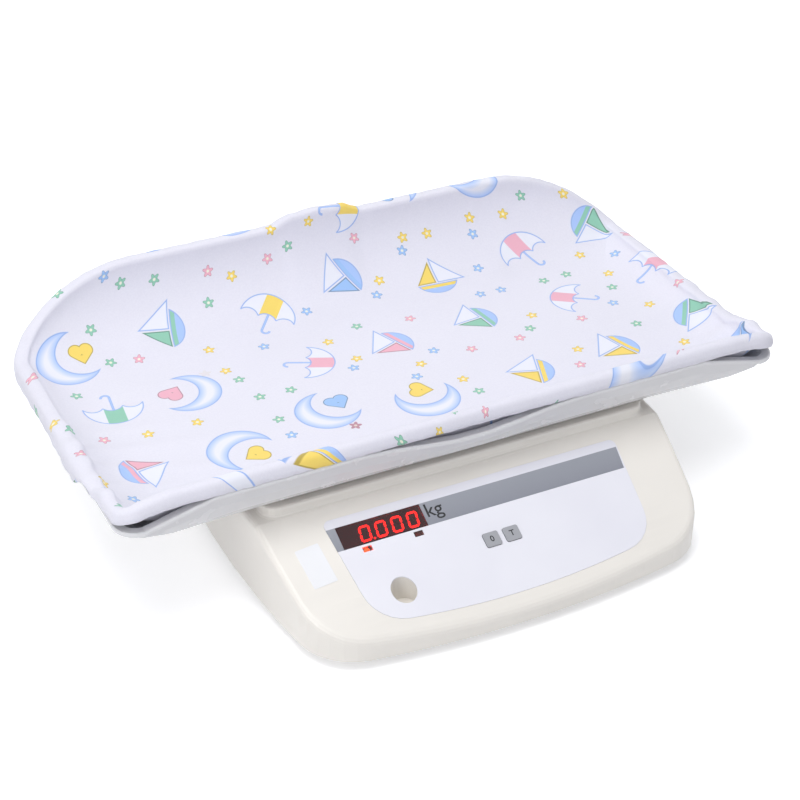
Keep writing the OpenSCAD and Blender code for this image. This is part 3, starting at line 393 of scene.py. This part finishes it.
# ---------------------------------------------------------------- metal parts
# Zinc-plated screws, posts, stops and studs, a milled aluminium load cell between
# its spacers, a folded steel platform frame and turned brass inserts.
def metal(name, colour, roughness, stretch, scale=900, depth=0.00001):
    finish, tree, shader = new_finish(name)
    set_shader(shader, Metallic=1.0)
    marks = grain(tree, scale, 3, stretch)
    dark = [c * 0.86 for c in colour]
    tree.links.new(mixed(tree, spread(tree, marks, 0.3, 0.7, 0, 1), dark, colour),
                   shader.inputs["Base Color"])
    tree.links.new(spread(tree, marks, 0.3, 0.7, roughness - 0.08, roughness + 0.1),
                   shader.inputs["Roughness"])
    roughen(tree, shader, marks, depth)
    return finish


zinc = metal("zinc_plate", (0.56, 0.575, 0.6), 0.34, (1, 1, 1))
dress(zinc, "board_screws", "cell_base_screws", "cell_top_screws", "housing_screws",
      "platform_posts", "overload_stops", "foot_stud_front_left", "foot_stud_front_right",
      "foot_stud_back_left", "foot_stud_back_right")
dress(metal("milled_aluminium", (0.74, 0.75, 0.77), 0.36, (0.08, 1, 1)), "load_cell")
dress(metal("spacer_steel", (0.42, 0.43, 0.45), 0.4, (1, 1, 0.1)), "cell_base_spacer",
      "cell_top_spacer")
dress(metal("folded_sheet", (0.6, 0.62, 0.65), 0.38, (1, 0.06, 1)), "platform_frame")
dress(metal("turned_brass", (0.72, 0.53, 0.24), 0.3, (1, 1, 12)), "foot_inserts")


# ---------------------------------------------------------------- rubber parts
# Moulded black rubber: a pad on each levelling foot and a bumper on each post.
rubber = moulded("black_rubber", (0.03, 0.03, 0.032), 0.75, depth=0.00008, shift=0.15,
                 scale=900, edge_highlight=0.3)
dress(rubber, "foot_pad_front_left", "foot_pad_front_right", "foot_pad_back_left",
      "foot_pad_back_right", "tray_bumpers")


# ---------------------------------------------------------------- tray
# A long bowl in white moulded plastic with a smooth gloss. Its low front lip has a
# shallow scoop in the middle, and its rings underneath sit round the bumpers.
tray_finish = moulded("white_tray", (0.74, 0.735, 0.75), 0.24, depth=0.00001, shift=0.012,
                      scale=500, edge_highlight=0.2)
dress(tray_finish, "tray_shell", "tray_sockets")


# ---------------------------------------------------------------- cover
# A fitted cover of thin printed cotton lies in the bowl. An elastic hem stands above
# the front lip as a soft roll, and at the ends and back it grips round the rim.
tray_front_y = -98.35
tray_z = 86.5
rim_half = 270.0
tray_depth = 290.0
front_corner_r = 18.0
back_corner = (110.0, 47.0)
back_climb = 1.7
flat_half = 218.0
flat_rows = (20.0, 218.0)
flat_corner_r = 40.0
flat_back_corner = (90.0, 50.0)
cloth_gap = 0.3
cloth_t = 1.4
shell_t = 3.0
flange_w = 4.0
end_rim_h = 17.5
front_lip_h = 31.0
back_rim_h = 64.5
hem_h = 9.0
hem_drop = 13.0
hem_out = 0.8
roll_drop = 2.6
floor_rings = 30
wall_rings = 34


def eased(t):
    t = np.clip(t, 0, 1)
    return (1 - np.cos(np.pi * t)) / 2


def half_outline():
    """The right half of the rim and of the flat floor's edge, and the climb to the back."""
    rim, flat, climb = [], [], []

    def add(x, y, flat_x, flat_y, up):
        rim.append((x, y))
        flat.append((flat_x, flat_y))
        climb.append(up)

    front_x = rim_half - front_corner_r
    flat_front_x = flat_half - flat_corner_r
    back_y = tray_depth - back_corner[1]
    flat_back_y = flat_rows[1] - flat_back_corner[1]
    for s in (np.arange(70) + 0.5) / 70.5:
        add(s * front_x, 0, s * flat_front_x, flat_rows[0], 0)
    for turn in np.radians(np.linspace(-90, 0, 15)[1:]):
        add(front_x + front_corner_r * math.cos(turn), front_corner_r * (1 + math.sin(turn)),
            flat_front_x + flat_corner_r * math.cos(turn),
            flat_rows[0] + flat_corner_r * (1 + math.sin(turn)), 0)
    for s in np.arange(1, 66) / 66:
        add(rim_half, front_corner_r + s * (back_y - front_corner_r), flat_half,
            flat_rows[0] + flat_corner_r + s * (flat_back_y - flat_rows[0] - flat_corner_r), 0)
    for turn in np.radians(np.linspace(0, 90, 50)):
        add(rim_half - back_corner[0] * (1 - math.cos(turn)), back_y + back_corner[1] * math.sin(turn),
            flat_half - flat_back_corner[0] * (1 - math.cos(turn)),
            flat_back_y + flat_back_corner[1] * math.sin(turn), max(0.0, math.sin(turn)) ** back_climb)
    for s in 1 - np.arange(1, 46) / 45.5:
        add(s * (rim_half - back_corner[0]), tray_depth, s * (flat_half - flat_back_corner[0]),
            flat_rows[1], 1)
    return np.array(rim), np.array(flat), np.array(climb)


def moved_in(line, distance):
    """A half outline moved in by one distance, or by one for each point."""
    before = np.vstack([line[0] * (-1, 1), line[:-1]])
    after = np.vstack([line[1:], line[-1] * (-1, 1)])
    way = after - before
    way /= np.linalg.norm(way, axis=1)[:, None]
    return line + np.reshape(distance, (-1, 1)) * np.stack([-way[:, 1], way[:, 0]], 1)


rim_line, flat_line, climb = half_outline()
run = rim_line.sum(1) - (rim_half - front_corner_r)
lip_gone = eased((run + 26) / 86)
out_gone = eased((run - 60) / 20)
down_gone = eased((run - 90) / 30)
hem_line = (end_rim_h + (back_rim_h - end_rim_h) * climb + cloth_gap
            + (front_lip_h - end_rim_h) * (1 - lip_gone))
crest = hem_line + (hem_h - cloth_t) * (1 - out_gone) + cloth_t
hem_edge = hem_line - (hem_drop + cloth_gap) * down_gone
band_out = hem_out + (-cloth_gap - cloth_t - hem_out) * out_gone
foot_h = shell_t + cloth_gap + cloth_t
skin = flange_w + foot_h
wall_foot = moved_in(flat_line, foot_h)

rows, heights = [], []
middle = np.array([0, sum(flat_rows) / 2])
for t in np.linspace(0.03, 1, floor_rings)[:-1]:
    rows.append(middle + (wall_foot - middle) * t)
    heights.append(np.full(len(climb), foot_h))
wall_top = moved_in(rim_line, skin)
for s in np.linspace(0, 1, wall_rings):
    rows.append(wall_foot + (wall_top - wall_foot) * math.sin(math.pi / 2 * s))
    heights.append(foot_h + (crest - foot_h) * (1 - math.cos(math.pi / 2 * s)))
# Over the crest and down the outside: share of the way across, and of the way down
roll = [(0.12, -0.5), (0.3, -0.9), (0.5, -1.0), (0.7, -0.7), (0.86, 0.1), (0.95, 1.2),
        (1.0, roll_drop)]
for across, drop in roll:
    rows.append(moved_in(rim_line, skin + (band_out - skin) * across))
    heights.append(crest - drop)
for t in (0.2, 0.4, 0.6, 0.8, 0.93, 1.0):
    bulge = 0.7 * math.sin(math.pi * t)
    rows.append(moved_in(rim_line, band_out - bulge + (0.5 if t == 1.0 else 0)))
    heights.append(crest - roll_drop - (crest - roll_drop - hem_edge) * t)
rows = np.array(rows)
heights = np.array(heights)

# Both halves, and the flat cloth's own coordinates: across the floor, then along the wall
right = np.concatenate([rows, heights[..., None]], 2)
cloth = np.concatenate([right, right[:, ::-1] * (-1, 1, 1)], 1)
steps = np.linalg.norm(np.diff(cloth, axis=0), axis=2)
length = np.vstack([np.zeros((floor_rings, cloth.shape[1])), np.cumsum(steps[floor_rings - 1:], 0)])
foot = np.concatenate([wall_foot, wall_foot[::-1] * (-1, 1)])
top = np.concatenate([wall_top, wall_top[::-1] * (-1, 1)])
outward = (top - foot) / np.linalg.norm(top - foot, axis=1)[:, None]
flat_cloth = np.where(np.arange(len(cloth))[:, None, None] < floor_rings, cloth[..., :2],
                      foot[None] + outward[None] * length[..., None])
cloth = cloth + (0, tray_front_y, tray_z)

# Creases stand up from the cloth, each a line in plan with its width and height
creases = [
    (-262, 118, -150, 104, 7, 2.6), (-262, 96, -165, 66, 6, 2.2), (-262, 72, -180, 44, 6, 1.8),
    (-258, 146, -175, 136, 8, 1.8), (-255, 40, -190, 26, 5, 1.5),
    (262, 34, 120, 22, 6, 2.8), (262, 58, 140, 40, 7, 2.4), (262, 88, 165, 66, 8, 2.0),
    (262, 120, 175, 104, 8, 1.7), (225, 14, 60, 12, 4, 1.8), (-225, 14, -120, 12, 4, 1.4),
    (-40, 232, 60, 214, 14, 1.5), (-170, 238, -110, 200, 10, 1.5), (150, 240, 100, 205, 10, 1.5),
]
lift = np.zeros(cloth.shape[:2])
plan = cloth[..., :2] - (0, tray_front_y)
for x0, y0, x1, y1, width, height in creases:
    way = np.array([x1 - x0, y1 - y0], float)
    reach = np.linalg.norm(way)
    way /= reach
    offset = plan - (x0, y0)
    t = np.clip(offset @ way, 0, reach)
    bend = 3 * np.sin(np.pi * t / reach)
    away = np.abs(offset @ np.array([-way[1], way[0]]) - bend)
    beyond = np.maximum(np.abs(offset @ way - reach / 2) - reach / 2, 0)
    lift += height * np.exp(-(away / width) ** 2 - (beyond / 12) ** 2) * (1 - 0.75 * t / reach)
ripple = np.sin(plan[..., 0] / 37 + 1.3 * np.sin(plan[..., 1] / 29)) * np.sin(plan[..., 1] / 23)
lift += 0.5 + 0.5 * ripple

# Small gathers along the elastic, strongest over the crest
crest_row = floor_rings + wall_rings - 2
crest_steps = np.linalg.norm(np.diff(cloth[crest_row, :, :2], axis=0), axis=1)
around = np.concatenate([[0], np.cumsum(crest_steps)])
gather = np.sin(around / 2.3 + 2.1 * np.sin(around / 9.7)) + 0.6 * np.sin(around / 4.9 + 1.0)
gather_rows = [0, 48, crest_row, 66, 75, len(cloth) - 1]
gather_share = np.interp(np.arange(len(cloth)), gather_rows, [0, 0, 0.35, 0.5, 0.45, 0.15])
lift += gather_share[:, None] * (gather[None] + 1.2) * 0.42

way_round = np.roll(cloth, -1, 1) - np.roll(cloth, 1, 1)
way_out = np.gradient(cloth, axis=0)
normal = np.cross(way_round, way_out)
normal /= np.maximum(np.linalg.norm(normal, axis=2), 1e-9)[..., None]
if normal[20, 5, 2] < 0:
    normal = -normal
cloth = (cloth + normal * lift[..., None]) / 1000

count = cloth.shape[1]
corners = [tuple(p) for ring in cloth for p in ring]
corners.append(tuple(cloth[0].mean(0)))
flat_points = np.vstack([flat_cloth.reshape(-1, 2), flat_cloth[0].mean(0)[None]])
faces = [(len(corners) - 1, i, (i + 1) % count) for i in range(count)]
for k in range(len(cloth) - 1):
    for i in range(count):
        j = (i + 1) % count
        faces.append((k * count + i, (k + 1) * count + i, (k + 1) * count + j, k * count + j))
cover_mesh = bpy.data.meshes.new("printed_cover")
cover_mesh.from_pydata(corners, [], faces)
cover_mesh.shade_smooth()
flat_map = cover_mesh.uv_layers.new(name="flat_cloth")
loop_points = np.zeros(len(cover_mesh.loops), int)
cover_mesh.loops.foreach_get("vertex_index", loop_points)
flat_map.data.foreach_set("uv", (flat_points[loop_points] / 1000).ravel())
cover = bpy.data.objects.new("printed_cover", cover_mesh)
scene.collection.objects.link(cover)
thickness = cover.modifiers.new("cloth_thickness", "SOLIDIFY")
thickness.thickness = 0.001
thickness.offset = -1


class Inked:
    """A number that the print's nodes work out, in millimetres of the flat cloth."""

    def __init__(self, tree, socket):
        self.tree, self.socket = tree, socket

    def math(self, operation, *others, clamp=False):
        node = self.tree.nodes.new("ShaderNodeMath")
        node.operation = operation
        node.use_clamp = clamp
        for socket, value in zip(node.inputs, (self, *others)):
            if isinstance(value, Inked):
                self.tree.links.new(value.socket, socket)
            else:
                socket.default_value = value
        return Inked(self.tree, node.outputs[0])

    def __add__(self, other):
        return self.math("ADD", other)

    def __sub__(self, other):
        return self.math("SUBTRACT", other)

    def __mul__(self, other):
        return self.math("MULTIPLY", other)

    def least(self, other):
        return self.math("MINIMUM", other)

    def most(self, other):
        return self.math("MAXIMUM", other)

    def size(self):
        return self.math("ABSOLUTE")

    def inside(self, soft=0.35):
        """1 inside the shape and 0 outside, with an edge that soft."""
        return self.math("MULTIPLY_ADD", -1 / soft, 0.5, clamp=True)


def disc(x, y, mid_x, mid_y, radius):
    dx, dy = x - mid_x, y - mid_y
    return (dx * dx + dy * dy).math("SQRT") - radius


def bar(x, y, mid_x, mid_y, half_w, half_h):
    return ((x - mid_x).size() - half_w).most((y - mid_y).size() - half_h)


def side(x, y, way_x, way_y, reach):
    return x * way_x + y * way_y - reach


def where(chosen, shape):
    """The shape where its motif is the chosen one, and elsewhere nothing."""
    return shape + (chosen * -60 + 60)


cloth_finish, cloth_tree, cloth_shader = new_finish("printed_cotton")
set_shader(cloth_shader, Sheen_Weight=0.2, Sheen_Roughness=0.5, Specular_IOR_Level=0.25)
flat_node = cloth_tree.nodes.new("ShaderNodeUVMap")
flat_node.uv_map = "flat_cloth"


def motifs(per_metre, scatter, places=None):
    """Where the nearest motif of a layout stands: its own x and y, its colours and place."""
    cells = cloth_tree.nodes.new("ShaderNodeTexVoronoi")
    cells.voronoi_dimensions = "2D"
    cells.inputs["Scale"].default_value = per_metre
    cells.inputs["Randomness"].default_value = scatter
    cloth_tree.links.new(places or flat_node.outputs[0], cells.inputs["Vector"])
    offset = cloth_tree.nodes.new("ShaderNodeVectorMath")
    offset.operation = "SUBTRACT"
    cloth_tree.links.new(places or flat_node.outputs[0], offset.inputs[0])
    cloth_tree.links.new(cells.outputs["Position"], offset.inputs[1])
    luck = cloth_tree.nodes.new("ShaderNodeSeparateColor")
    cloth_tree.links.new(cells.outputs["Color"], luck.inputs[0])
    turn = cloth_tree.nodes.new("ShaderNodeVectorRotate")
    turn.rotation_type = "Z_AXIS"
    cloth_tree.links.new(offset.outputs[0], turn.inputs["Vector"])
    cloth_tree.links.new((Inked(cloth_tree, luck.outputs[2]) * 6.283).socket, turn.inputs["Angle"])
    split = cloth_tree.nodes.new("ShaderNodeSeparateXYZ")
    cloth_tree.links.new(turn.outputs[0], split.inputs[0])
    x, y = (Inked(cloth_tree, split.outputs[i]) * 1000 for i in (0, 1))
    return x, y, [Inked(cloth_tree, luck.outputs[i]) for i in range(3)], cells.outputs["Position"]


pastels = [(0.93, 0.70, 0.16), (0.86, 0.46, 0.56), (0.30, 0.60, 0.46), (0.36, 0.56, 0.90)]


def pastel(pick, shade=1.0):
    ramp = cloth_tree.nodes.new("ShaderNodeValToRGB")
    ramp.color_ramp.interpolation = "CONSTANT"
    while len(ramp.color_ramp.elements) < 4:
        ramp.color_ramp.elements.new(0.5)
    for i, colour in enumerate(pastels):
        ramp.color_ramp.elements[i].position = i / 4
        ramp.color_ramp.elements[i].color = (*[c * shade for c in colour], 1)
    cloth_tree.links.new(pick.socket, ramp.inputs[0])
    return ramp.outputs[0]


def lay(ground, shape, fill, line, width=0.5):
    """Prints a shape on the ground: its fill, then a line along its edge."""
    ground = mixed(cloth_tree, shape.inside().socket, ground, fill)
    return mixed(cloth_tree, (shape.size() - width).inside().socket, ground, line)


thread = spread(cloth_tree, grain(cloth_tree, 700, 3), 0.3, 0.7, 0, 1)
print_colour = mixed(cloth_tree, thread, (0.775, 0.765, 0.85), (0.81, 0.80, 0.88))
blue_line = (0.33, 0.47, 0.82)
soft_blue = (0.42, 0.58, 0.93)
white_ink = (0.83, 0.84, 0.92)
blossom_heart = (0.9, 0.88, 0.75)
large_layout = (12.6, 0.32)
small_layout = (32, 0.75)

# Large motifs: a crescent with a heart, a small boat, or an umbrella
x, y, luck, _ = motifs(*large_layout)
is_moon = (luck[0] - 0.36).inside(0.001)
is_boat = ((luck[0] - 0.52).size() - 0.16).inside(0.001)
is_umbrella = (luck[0] * -1 + 0.68).inside(0.001)
tint = pastel(luck[1])
tint_line = pastel(luck[1], 0.55)

moon = where(is_moon, disc(x, y, 0, 0, 25).most(disc(x, y, 12, 5, 21) * -1))
moon_fill = mixed(cloth_tree, moon.math("MULTIPLY_ADD", 0.16, 1.0, clamp=True).socket, white_ink,
                  soft_blue)
print_colour = lay(print_colour, moon, moon_fill, blue_line)
heart_x = (x - 12).size()
heart_tip = side(heart_x, y, 0.74, -0.68, 3.27).most(y - 4.2)
heart = where(is_moon, disc(heart_x, y, 4.2, 8, 5.6).least(heart_tip))
print_colour = lay(print_colour, heart, tint, tint_line, 0.4)

hull = where(is_boat, disc(x, y, 0, 2, 19).most(y + 6))
near_sail = where(is_boat, side(x, y, 0.72, 0.69, 15).most(x * -1 + 1.2).most(y * -1 - 4))
far_sail = where(is_boat, side(x * -1, y, 0.8, 0.6, 11).most(x + 1.2).most(y * -1 - 4))
hull_fill = mixed(cloth_tree, (y + 10).inside().socket, tint, soft_blue)
print_colour = lay(print_colour, hull, hull_fill, blue_line)
print_colour = lay(print_colour, near_sail, white_ink, blue_line)
print_colour = lay(print_colour, far_sail, tint, tint_line)

dome = disc(x, y, 0, -3, 23).most(y * -1 - 3)
for scallop_x in (-15.4, 0, 15.4):
    dome = dome.most(disc(x, y, scallop_x, -8, 9) * -1)
dome = where(is_umbrella, dome)
hook = (disc(x, y, 3.2, -17, 3.2).size() - 0.7).most(y + 17)
stick = where(is_umbrella, bar(x, y, 0, -8, 0.7, 9).least(hook))
dome_fill = mixed(cloth_tree, (x.size() - 7.4).inside().socket, white_ink, tint)
print_colour = lay(print_colour, stick, soft_blue, blue_line, 0.3)
print_colour = lay(print_colour, dome, dome_fill, blue_line)

# Small motifs where no large one is near: five-petalled blossoms
small_x, small_y, small_luck, small_places = motifs(*small_layout)
near_x, near_y, _, _ = motifs(*large_layout, small_places)
clear = disc(near_x, near_y, 0, 0, 30) * -1
angle = small_y.math("ARCTAN2", small_x)
reach = disc(small_x, small_y, 0, 0, 0)
blossom = (reach - ((angle * 5).math("COSINE") * 1.1 + 3.6)).most(clear)
blossom_dot = (reach - 1.2).most(clear)
print_colour = lay(print_colour, blossom, pastel(small_luck[1]), pastel(small_luck[1], 0.6), 0.25)
print_colour = mixed(cloth_tree, blossom_dot.inside().socket, print_colour, blossom_heart)

cloth_tree.links.new(print_colour, cloth_shader.inputs["Base Color"])
cloth_tree.links.new(spread(cloth_tree, grain(cloth_tree, 400, 3), 0.3, 0.7, 0.62, 0.8),
                     cloth_shader.inputs["Roughness"])
flat_split = cloth_tree.nodes.new("ShaderNodeSeparateXYZ")
cloth_tree.links.new(flat_node.outputs[0], flat_split.inputs[0])
threads = 9000
warp = (Inked(cloth_tree, flat_split.outputs[0]) * threads).math("SINE")
weft = (Inked(cloth_tree, flat_split.outputs[1]) * threads).math("SINE")
weave = warp * weft + Inked(cloth_tree, grain(cloth_tree, 500, 3))
roughen(cloth_tree, cloth_shader, weave.socket, 0.00006, 0.6)
cover_mesh.materials.append(cloth_finish)

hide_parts("cover")
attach(cover, "tray")
